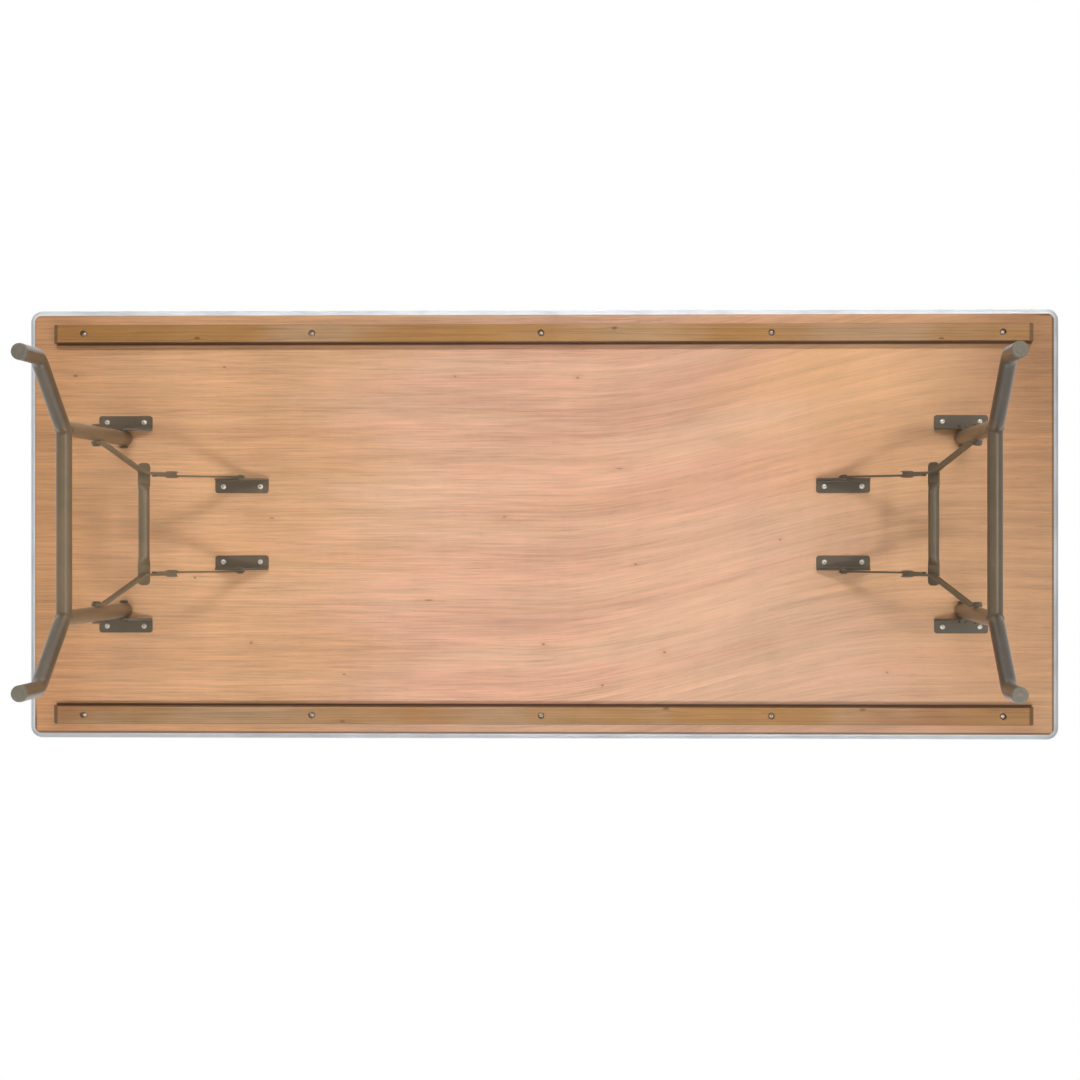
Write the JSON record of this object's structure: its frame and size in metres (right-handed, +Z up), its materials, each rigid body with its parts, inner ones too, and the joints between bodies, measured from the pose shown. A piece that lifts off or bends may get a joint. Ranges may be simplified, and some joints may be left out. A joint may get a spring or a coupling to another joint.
{
  "type": "folding banquet table",
  "caption": "Long plywood banquet table with a metal edge strip, underside battens and bent-tube leg frames that fold flat under the top on knuckled braces with tie bars.",
  "frame": {"origin": "on the floor under the middle of the top", "axes": "+X along the length, +Y across the width, +Z up out of the table's upper face"},
  "size_m": [1.829, 0.762, 0.762],
  "materials": {
    "plywood": "clear lacquered veneer plywood",
    "batten_wood": "varnished softwood",
    "edge_strip": "satin anodised",
    "painted_steel": "semi-gloss powder coat",
    "zinc": "bright zinc plate",
    "foot_plastic": "moulded polyethylene"
  },
  "bodies": {
    "tabletop": {"top_panel": "plywood", "edge_trim": "edge_strip", "batten_front": "batten_wood", "batten_back": "batten_wood", "batten_screws": "zinc", "bracket_screws": "zinc", "hinge_bolts_left": "painted_steel", "hinge_washers_left": "painted_steel", "hinge_nuts_left": "painted_steel", "bracket_rivets_left": "painted_steel", "hinge_bracket_left_front": "painted_steel", "brace_bracket_left_front": "painted_steel", "hinge_bracket_left_back": "painted_steel", "brace_bracket_left_back": "painted_steel", "hinge_bolts_right": "painted_steel", "hinge_washers_right": "painted_steel", "hinge_nuts_right": "painted_steel", "bracket_rivets_right": "painted_steel", "hinge_bracket_right_front": "painted_steel", "brace_bracket_right_front": "painted_steel", "hinge_bracket_right_back": "painted_steel", "brace_bracket_right_back": "painted_steel"},
    "leg_set_left": {"leg_crossbar_left": "painted_steel", "brace_bolts_left": "painted_steel", "leg_tube_left_front": "painted_steel", "foot_plug_left_front": "foot_plastic", "leg_tube_left_back": "painted_steel", "foot_plug_left_back": "foot_plastic"},
    "upper_brace_left": {"knuckle_rivets_left": "painted_steel", "upper_link_left_front": "painted_steel", "upper_link_left_back": "painted_steel"},
    "lower_brace_left": {"tie_bar_left": "painted_steel", "brace_nuts_left": "painted_steel", "lower_link_left_front": "painted_steel", "lower_link_left_back": "painted_steel"},
    "leg_set_right": {"leg_crossbar_right": "painted_steel", "brace_bolts_right": "painted_steel", "leg_tube_right_front": "painted_steel", "foot_plug_right_front": "foot_plastic", "leg_tube_right_back": "painted_steel", "foot_plug_right_back": "foot_plastic"},
    "upper_brace_right": {"knuckle_rivets_right": "painted_steel", "upper_link_right_front": "painted_steel", "upper_link_right_back": "painted_steel"},
    "lower_brace_right": {"tie_bar_right": "painted_steel", "brace_nuts_right": "painted_steel", "lower_link_right_front": "painted_steel", "lower_link_right_back": "painted_steel"}
  },
  "joints": [
    {"name": "leg_fold_left", "type": "hinge", "parent": "tabletop", "child": "leg_set_left", "pos_m": [-0.742, 0, 0.723], "axis": [0, -1, 0], "range_deg": [0, 90]},
    {"name": "brace_swing_left", "type": "hinge", "parent": "tabletop", "child": "upper_brace_left", "pos_m": [-0.534, 0, 0.723], "axis": [0, -1, 0], "range_deg": [-46.09, 0]},
    {"name": "brace_knuckle_left", "type": "hinge", "parent": "upper_brace_left", "child": "lower_brace_left", "pos_m": [-0.63523, 0, 0.61788], "axis": [0, -1, 0], "range_deg": [0, 180]},
    {"name": "leg_fold_right", "type": "hinge", "parent": "tabletop", "child": "leg_set_right", "pos_m": [0.742, 0, 0.723], "axis": [0, 1, 0], "range_deg": [0, 90]},
    {"name": "brace_swing_right", "type": "hinge", "parent": "tabletop", "child": "upper_brace_right", "pos_m": [0.534, 0, 0.723], "axis": [0, 1, 0], "range_deg": [-46.09, 0]},
    {"name": "brace_knuckle_right", "type": "hinge", "parent": "upper_brace_right", "child": "lower_brace_right", "pos_m": [0.63523, 0, 0.61788], "axis": [0, 1, 0], "range_deg": [0, 180]}
  ],
  "couplings": [
    {"joint": "brace_swing_left", "follows": "leg_fold_left", "ratio": -0.51201},
    {"joint": "brace_knuckle_left", "follows": "leg_fold_left", "ratio": 2},
    {"joint": "brace_swing_right", "follows": "leg_fold_right", "ratio": -0.51201},
    {"joint": "brace_knuckle_right", "follows": "leg_fold_right", "ratio": 2}
  ]
}
